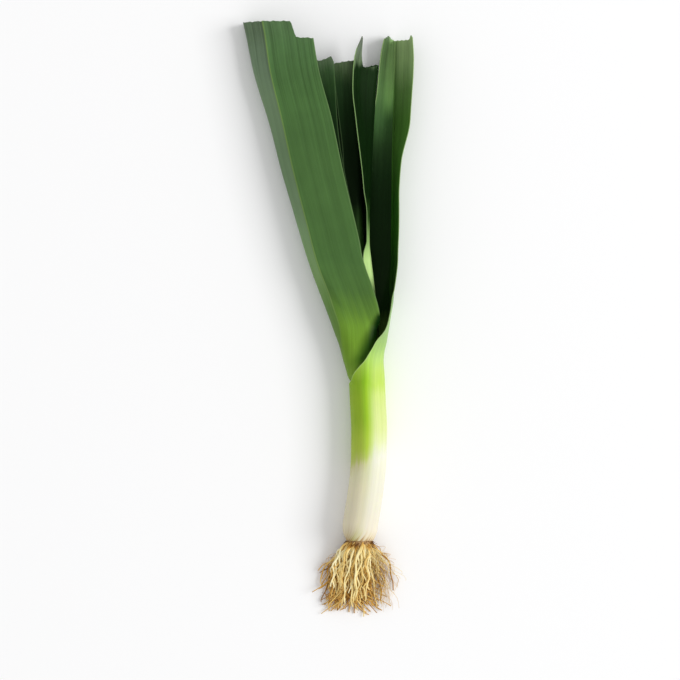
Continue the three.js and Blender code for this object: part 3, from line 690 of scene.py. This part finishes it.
# Fifth leaf. Narrow leaf in the middle of the fan, its green darkened by painted shade. Tender
# tissue, its tube fixed to the disc inside the fourth leaf's.
FIFTH_LEAF = {
    "order": 4, "side": 1, "mouth": 208, "foot": 5.4,
    "apex": [[220, 4.6], [250, 0.4], [267, -1.4], [290, -2], [339, -2], [380, -4.5], [427, -7]],
    "height": [[208, AXIS_HEIGHT], [290, 16.5], [339, 17.5], [380, 18.5], [427, 18]],
    "base": [[208, 7.757], [290, 8.5], [339, 11], [427, 12]],
    "keel": [[208, 0]],
    "front": {
        "round1": [[208, 8], [290, 7.5], [339, 6.5]],
        "bend1": [[208, 0]],
        "round2": [[208, 8]],
        "bend2": [[208, -90], [225, -90], [240, 0]],
        "width": [[208, 25.1], [215, 21], [225, 18], [240, 17], [290, 20], [380, 24], [427, 27]],
    },
    "back": {
        "bend1": [[208, 0]],
        "round2": [[208, 8]],
        "bend2": [[208, -90], [225, -90], [240, 0]],
        "width": [[208, 25.1], [215, 21], [225, 18], [240, 17], [427, 18]],
    },
    "end": [[-1, 421], [0, 427.5], [0.6, 425.5], [1, 423.5]],
}
fifth_leaf = leaf_shell("fifth_leaf_skin", FIFTH_LEAF, 56)
FIFTH_INSIDE = [
    [0, 236, 230, 210], [130, 220, 228, 160], [230, 110, 150, 70], [290, 44, 72, 36], [430, 52, 82, 44],
]
fifth_leaf.data.materials.append(leaf_material(
    "narrow_blade",
    [
        # The outer face's very dark greens from 300 to 405 mm are painted shade where the leaf lies deep in
        # the fan.
        [[0, 236, 230, 210], [120, 224, 230, 170], [208, 170, 204, 96], [250, 50, 84, 34],
         [300, 8, 20, 6], [350, 10, 24, 8], [380, 18, 38, 15], [405, 32, 54, 28], [414, 52, 72, 43],
         [421, 74, 92, 63], [430, 82, 97, 73]],
        [[0, 236, 230, 210], [120, 224, 230, 170], [208, 170, 204, 96], [260, 80, 116, 56],
         [430, 66, 98, 54]],
        FIFTH_INSIDE,
        FIFTH_INSIDE,
    ],
    paint(96, 126, 80), 0.3, 0.04,
))
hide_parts("fifth_leaf")
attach(fifth_leaf, "root")

# Heart leaf. The young leaf in the middle of the shaft, paler than the rest and hidden by them.
# Tender tissue, its tube fixed to the disc inside the fifth leaf's.
HEART_LEAF = {
    "order": 5, "side": -1, "mouth": 228, "foot": 6.5,
    "apex": [[240, -13], [260, -18], [290, -25], [345, -33], [405, -40]],
    "height": [[228, AXIS_HEIGHT], [290, 16.5], [345, 18.5], [405, 19]],
    "base": [[228, 9.757], [290, 11.5], [345, 14.5], [405, 15]],
    "keel": [[228, 0]],
    "front": {
        "round1": [[228, 6], [290, 5], [345, 4]],
        "bend1": [[228, 0]],
        "round2": [[228, 6]],
        "bend2": [[228, -90], [250, -90], [272, 0]],
        "width": [[228, 18.8], [250, 16.5], [268, 15], [290, 18], [405, 19]],
    },
    "back": {
        "bend1": [[228, 0]],
        "round2": [[228, 6]],
        "bend2": [[228, -90], [240, -90], [255, 0]],
        "width": [[228, 18.8], [240, 14], [405, 14]],
    },
    "end": [[-1, 402], [0, 405], [1, 404]],
}
heart_leaf = leaf_shell("heart_leaf_skin", HEART_LEAF, 44)
# The outer face's dark greens from 300 mm up are painted shade where the leaf shows deep in the fan.
HEART_OUTSIDE = [
    [0, 240, 236, 214], [150, 232, 234, 170], [240, 196, 214, 110], [300, 40, 68, 30], [340, 14, 32, 10],
    [405, 26, 48, 20],
]
HEART_INSIDE = [
    [0, 240, 236, 214], [240, 206, 220, 130], [300, 100, 140, 64], [405, 76, 112, 54],
]
heart_leaf.data.materials.append(leaf_material(
    "young_blade",
    [HEART_OUTSIDE, HEART_OUTSIDE, HEART_INSIDE, HEART_INSIDE],
    paint(96, 126, 80), 0.3, 0.08,
))
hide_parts("heart_leaf")
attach(heart_leaf, "root")

# Stem disc. The short stem at the foot of the shaft that carries leaves above and roots below.
# Corky tan tissue, rough and browned where old roots have come away.
DISC_PROFILE = [[0, -6], [5, -5.4], [8.6, -3.4], [10.6, -0.8], [11.1, 0.4], [9.6, 1.7], [7, 3.8],
                [3.2, 6], [0, 6.2]]


def disc_shell():
    """A profile of [radius, height] turned round the shaft's axis, with knobs where roots leave
    it: two crossed waves round and along the dome, which sink it by up to half a millimetre."""
    profile = np.array(DISC_PROFILE, float)
    length = np.concatenate([[0], np.cumsum(np.hypot(*np.diff(profile, axis=0).T))])
    at = np.linspace(0, length[-1], 46)
    radius = np.interp(at, length, profile[:, 0])
    height = np.interp(at, length, profile[:, 1])
    turn = np.linspace(0, 2 * np.pi, 97)[:-1]
    knobs = 0.28 * np.sin(11 * turn[None, :] + at[:, None]) * np.sin(1.9 * at[:, None])
    knobs = knobs + 0.2 * np.sin(23 * turn[None, :] - 2.3 * at[:, None])
    knobs = knobs * np.clip(radius / 5, 0, 1)[:, None] * (height < 1)[:, None]
    r = radius[:, None] + np.minimum(knobs, 0.1)
    middle = float(smooth(AXIS_X, np.array(0.0)))
    x = middle + r * np.cos(turn)
    z = AXIS_HEIGHT + r * np.sin(turn)
    y = np.broadcast_to(height[:, None], x.shape)
    points = np.stack([x, y, z], 2).reshape(-1, 3)
    ids = np.arange(len(points)).reshape(x.shape)
    ids = np.concatenate([ids, ids[:, :1]], 1)
    ids[0] = ids[0, 0]
    ids[-1] = ids[-1, 0]
    quads = strips(ids)
    return points, quads


def surface_object(name, points, faces):
    """Smooth mesh object out of vertices in millimetres of the plant and faces of any size."""
    mesh = bpy.data.meshes.new(name)
    placed = (points + (*PLANT_AT, 0.0)) / 1000
    mesh.from_pydata(placed, [], faces)
    mesh.validate()
    mesh.shade_smooth()
    made = bpy.data.objects.new(name, mesh)
    bpy.context.scene.collection.objects.link(made)
    return made


disc_points, disc_quads = disc_shell()
disc_faces = [list(dict.fromkeys(face)) for face in disc_quads[:, ::-1].tolist()]
stem_disc = surface_object("stem_disc", disc_points, disc_faces)
cork = bpy.data.materials.new("corky_disc")
cork.use_nodes = True
where = add_node(cork.node_tree, "ShaderNodeTexCoord")
grain = noise(cork.node_tree, where.outputs["Object"], 700.0, 4.0)
CORK_COLORS = [[0.3, paint(92, 62, 32)], [0.5, paint(150, 112, 66)], [0.7, paint(196, 160, 110)]]
corky = ramp(cork.node_tree, grain, CORK_COLORS)
cork_surface = cork.node_tree.nodes["Principled BSDF"]
cork.node_tree.links.new(corky, cork_surface.inputs["Base Color"])
cork.node_tree.links.new(bump(cork.node_tree, grain, 0.6, 0.0006), cork_surface.inputs["Normal"])
cork_surface.inputs["Roughness"].default_value = 0.8
stem_disc.data.materials.append(cork)
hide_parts("roots")
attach(stem_disc, "root")

# Roots. String roots that leave the disc's dome, spread and sink to the surface, with more that
# wander among them, a mat of turned ends and fine rootlets. Dry straw-coloured tissue, grown from
# the disc.
ROOT_COUNT = 50
ROOT_THICKNESS = 1.9
DOME_RADIUS = 9.4
DOME_FOOT = -4.4
DOME_RISE = 3.6
FULL_TURN = 6.283
GOLDEN_TURN = 2.39996
GOLDEN_SHARE = 0.618


def root_draws(count):
    """The first draws, from 0 to 1, of the repeatable row of numbers that lays out the main
    roots, where each number is the one before times 16807, kept below 2147483647."""
    powers = [20711 * pow(16807, k + 1, 2147483647) % 2147483647 for k in range(count)]
    return np.array(powers) / 2147483647


def root_paths(turn, share, reach, sideways, sway, phase, floor, sink, steps, curl, turned, early=1.8):
    """Middle lines of roots, one for each row of values. Each starts on the dome, runs down the
    plant by its reach, spreads sideways, the sooner the higher early is, sways and curls on sines,
    falls to its own height above the surface, and turned sends its end off to one side."""
    middle = float(smooth(AXIS_X, np.array(0.0)))
    t = np.linspace(0, 1, steps)[None, :]
    columns = (turn, share, reach, sideways, sway, phase, floor, sink, curl, turned)
    turn, share, reach, sideways, sway, phase, floor, sink, curl, turned = [
        np.broadcast_to(c, turn.shape)[:, None] for c in columns
    ]
    start_x = middle + DOME_RADIUS * share * np.cos(turn)
    start_y = DOME_FOOT + DOME_RISE * share**2
    start_z = AXIS_HEIGHT + DOME_RADIUS * share * np.sin(turn)
    x = start_x + sideways * (1 - (1 - t) ** early) + sway * np.sin(phase + 5 * t) * t
    y = start_y - reach * t + 3 * np.sin(phase + 4 * t) * t
    fall = 1 - (1 - np.minimum(t / sink, 1)) ** 1.7
    z = np.maximum(start_z + (floor - start_z) * fall, 0.55)
    swell = np.sin(np.pi * t) ** 0.5
    x = x + curl * np.sin(2 * phase + 15 * t) * swell + turned * t**3
    y = y + 0.7 * curl * np.cos(3 * phase + 12 * t) * swell
    z = np.maximum(z + 0.6 * curl * np.sin(phase + 13 * t) * swell, 0.5)
    return np.stack([x, y, z], 2)


def strings(name, paths, radius, sides, tone):
    """Closed round strings along paths: a ring stands square to the path at each step, the ends
    are flat caps, and each string carries its own tone from 0 to 1."""
    heading = np.gradient(paths, axis=1)
    heading /= np.linalg.norm(heading, axis=2, keepdims=True)
    first = np.cross(heading, (0.0, 0.0, 1.0))
    first /= np.maximum(np.linalg.norm(first, axis=2, keepdims=True), 1e-6)
    second = np.cross(first, heading)
    turn = np.linspace(0, 2 * np.pi, sides, endpoint=False)
    ring = first[:, :, None] * np.cos(turn)[:, None] + second[:, :, None] * np.sin(turn)[:, None]
    points = paths[:, :, None] + ring * radius[:, :, None, None]
    points[..., 2] = np.maximum(points[..., 2], 0.02)
    count, steps = radius.shape
    ids = np.arange(count * steps * sides).reshape(count, steps, sides)
    near = ids[:, :-1]
    far = ids[:, 1:]
    quads = np.stack([near, np.roll(near, -1, 2), np.roll(far, -1, 2), far], 3).reshape(-1, 4)
    caps = ids[:, 0, ::-1].tolist() + ids[:, -1].tolist()
    made = surface_object(name, points.reshape(-1, 3), quads.tolist() + caps)
    attribute = made.data.attributes.new("tone", "FLOAT", "POINT")
    attribute.data.foreach_set("value", np.repeat(tone, steps * sides).astype(np.float32))
    made.data.materials.append(straw)
    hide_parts("roots")
    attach(made, "root")


def tapered(thickness, steps, loss):
    """Radius along strings, one row for each first radius, which falls evenly by a share of it."""
    return thickness * (1 - loss * np.linspace(0, 1, steps))[None, :]


# Straw colour: cream to tan by each root's own tone, blotched, and browner toward the surface and
# the disc's rim.
straw = bpy.data.materials.new("dry_root")
straw.use_nodes = True
tree = straw.node_tree
where = add_node(tree, "ShaderNodeTexCoord")
blotch = calc(tree, "MULTIPLY", noise(tree, where.outputs["Object"], 150.0, 3.0), 0.5)
own_tone = add_node(tree, "ShaderNodeAttribute", attribute_name="tone")
spot = add_node(tree, "ShaderNodeSeparateXYZ", {0: where.outputs["Object"]})
tone = calc(tree, "ADD", calc(tree, "MULTIPLY", own_tone.outputs["Fac"], 0.7), blotch)
tone = calc(tree, "ADD", tone, rescale(tree, spot.outputs[2], 0.0, 0.016, -0.28, 0.1))
tone = calc(tree, "ADD", tone, rescale(tree, spot.outputs[1], -0.2065, -0.1985, 0.0, -0.45))
strawy = ramp(tree, tone, [
    [0.0, paint(112, 70, 22)], [0.2, paint(168, 118, 42)], [0.4, paint(214, 166, 80)],
    [0.58, paint(240, 208, 128)], [0.8, paint(251, 233, 168)], [1.0, paint(254, 244, 200)],
])
straw_surface = tree.nodes["Principled BSDF"]
tree.links.new(strawy, straw_surface.inputs["Base Color"])
grain = noise(tree, where.outputs["Object"], 900.0, 2.0)
tree.links.new(bump(tree, grain, 0.4, 0.0003), straw_surface.inputs["Normal"])
straw_surface.inputs["Roughness"].default_value = 0.55
straw_surface.inputs["Specular IOR Level"].default_value = 0.25

index = np.arange(ROOT_COUNT)
draws = root_draws(ROOT_COUNT * 7).reshape(ROOT_COUNT, 7).T
share = np.sqrt((index + 0.5) / ROOT_COUNT)
turn = index * GOLDEN_TURN
sideways = np.cos(turn) * share * (13 + 17 * draws[1]) - 5 + 8 * (draws[2] - 0.5)
main_paths = root_paths(
    turn, share, 32 + 32 * draws[0], sideways, 9 * (draws[3] - 0.5), FULL_TURN * draws[4],
    0.5 + 5.5 * draws[5], 0.55 + 0.5 * draws[6], 30, 0.8, 0.0,
)
main_size = tapered(np.full((ROOT_COUNT, 1), ROOT_THICKNESS / 2), 30, 0.45)
strings("root_strings", main_paths, main_size, 7, 0.25 + 0.75 * ((index * GOLDEN_SHARE) % 1))

chance = np.random.default_rng(77)
more = 120
turn = chance.random(more) * FULL_TURN
share = 0.45 + 0.62 * np.sqrt(chance.random(more))
more_paths = root_paths(
    turn, share, 30 + 28 * chance.random(more), np.cos(turn) * share * (1 + 8 * chance.random(more)) - 8,
    7 * (chance.random(more) - 0.5), FULL_TURN * chance.random(more), 0.7 + 12 * chance.random(more) ** 1.4,
    0.7 + 0.7 * chance.random(more), 34, 0.5 + 1.5 * chance.random(more),
    60 * (chance.random(more) - 0.5) ** 3, 2.8,
)
more_size = tapered(0.6 + 0.42 * chance.random((more, 1)), 34, 0.45)
more_tone = np.where(chance.random(more) < 0.22, 0.15, 0.6) + 0.4 * chance.random(more)
strings("wandering_roots", more_paths, more_size, 6, more_tone)

stray = 30
turn = chance.random(stray) * FULL_TURN
stray_paths = root_paths(
    turn, 0.6 + 0.4 * chance.random(stray), 22 + 34 * chance.random(stray), -14 - 13 * chance.random(stray),
    8 * (chance.random(stray) - 0.5), FULL_TURN * chance.random(stray), 0.8 + 5 * chance.random(stray),
    0.5 + 0.5 * chance.random(stray), 30, 0.7 + 1.5 * chance.random(stray), -5 * chance.random(stray), 1.5,
)
stray_size = tapered(0.5 + 0.35 * chance.random((stray, 1)), 30, 0.45)
strings("stray_roots", stray_paths, stray_size, 6, 0.2 + 0.5 * chance.random(stray))

mat = 110
turn = chance.random(mat) * FULL_TURN
side = np.where(chance.random(mat) < 0.5, -1.0, 1.0)
mat_paths = root_paths(
    turn, chance.random(mat), 38 + 22 * chance.random(mat), 16 * (chance.random(mat) - 0.5) - 7 - 9 * side,
    8 * (chance.random(mat) - 0.5), FULL_TURN * chance.random(mat), 0.6 + 7 * chance.random(mat),
    0.45 + 0.3 * chance.random(mat), 34, 0.8 + 1.4 * chance.random(mat),
    side * (14 + 18 * chance.random(mat)),
)
mat_size = tapered(0.45 + 0.35 * chance.random((mat, 1)), 34, 0.4)
strings("turned_roots", mat_paths, mat_size, 6, 0.2 + 0.5 * chance.random(mat))

fine = 340
turn = chance.random(fine) * FULL_TURN
share = np.sqrt(chance.random(fine))
golden = chance.random(fine) < 0.42
fine_paths = root_paths(
    turn, share, 14 + 46 * chance.random(fine),
    np.cos(turn) * share * (4 + 16 * chance.random(fine)) + np.where(golden, 12.0, -6.0),
    12 * (chance.random(fine) - 0.5), FULL_TURN * chance.random(fine), 0.5 + 9 * chance.random(fine),
    0.5 + 0.6 * chance.random(fine), 16, 1.2 + 2.0 * chance.random(fine), 16 * (chance.random(fine) - 0.5),
)
fine_size = tapered(0.18 + 0.2 * chance.random((fine, 1)), 16, 0.6)
fine_tone = np.where(golden, 0.4, 0.15) + 0.45 * chance.random(fine)
strings("rootlets", fine_paths, fine_size, 3, fine_tone)

fuzz = 150
turn = chance.random(fuzz) * FULL_TURN
fuzz_paths = root_paths(
    turn, 1.12 + 0.06 * chance.random(fuzz), 3 + 7 * chance.random(fuzz),
    np.cos(turn) * 2 - 2 * chance.random(fuzz),
    3 * (chance.random(fuzz) - 0.5), FULL_TURN * chance.random(fuzz), 8 + 4 * chance.random(fuzz),
    1.4 + chance.random(fuzz), 9, 0.3 + 0.5 * chance.random(fuzz), 6 * (chance.random(fuzz) - 0.5), 2.5,
)
fuzz_size = tapered(0.14 + 0.22 * chance.random((fuzz, 1)), 9, 0.6)
strings("rim_fuzz", fuzz_paths, fuzz_size, 3, 0.3 * chance.random(fuzz))

# Surface, lamp and camera. A plain pale table top in a white room, under one soft studio lamp on
# the right, seen from straight above through a long lens.
SEEN_WIDTH = 0.6044
LENS_DISTANCE = 3.0
MIDDLE_HEIGHT = 0.016
floor_mesh = bpy.data.meshes.new("table_top")
floor_mesh.from_pydata([(-4, -4, 0), (4, -4, 0), (4, 4, 0), (-4, 4, 0)], [], [(0, 1, 2, 3)])
table_top = bpy.data.objects.new("table_top", floor_mesh)
bpy.context.scene.collection.objects.link(table_top)
pale = bpy.data.materials.new("pale_table")
pale.use_nodes = True
pale_surface = pale.node_tree.nodes["Principled BSDF"]
pale_surface.inputs["Base Color"].default_value = (0.95, 0.95, 0.953, 1)
pale_surface.inputs["Roughness"].default_value = 0.8
pale_surface.inputs["Specular IOR Level"].default_value = 0.1
table_top.data.materials.append(pale)

world = bpy.data.worlds.new("studio")
bpy.context.scene.world = world
world.use_nodes = True
world.node_tree.nodes["Background"].inputs[0].default_value = (1.0, 1.0, 1.0, 1)
world.node_tree.nodes["Background"].inputs[1].default_value = 0.665


def soft_lamp(name, place, aim, size, power):
    """Square soft lamp that faces the point aim."""
    lamp = bpy.data.lights.new(name, "AREA")
    lamp.shape = "SQUARE"
    lamp.size = size
    lamp.energy = power
    made = bpy.data.objects.new(name, lamp)
    made.location = place
    heading = np.array(aim) - np.array(place)
    flat = math.hypot(heading[0], heading[1])
    turn = math.atan2(heading[1], heading[0]) - math.pi / 2
    made.rotation_euler = (math.atan2(flat, -heading[2]), 0, turn)
    bpy.context.scene.collection.objects.link(made)


soft_lamp("key_lamp", (9.4, 0.96, 7.4), (0, 0, 0), 6.0, 925)

lens_view = bpy.data.cameras.new("camera")
lens_view.sensor_width = 36
lens_view.lens = lens_view.sensor_width * LENS_DISTANCE / SEEN_WIDTH
lens_view.clip_end = 50
camera = bpy.data.objects.new("camera", lens_view)
camera.location = (0.0089, -0.0177, LENS_DISTANCE + MIDDLE_HEIGHT)
bpy.context.scene.collection.objects.link(camera)
bpy.context.scene.camera = camera
bpy.context.scene.view_settings.view_transform = "Standard"
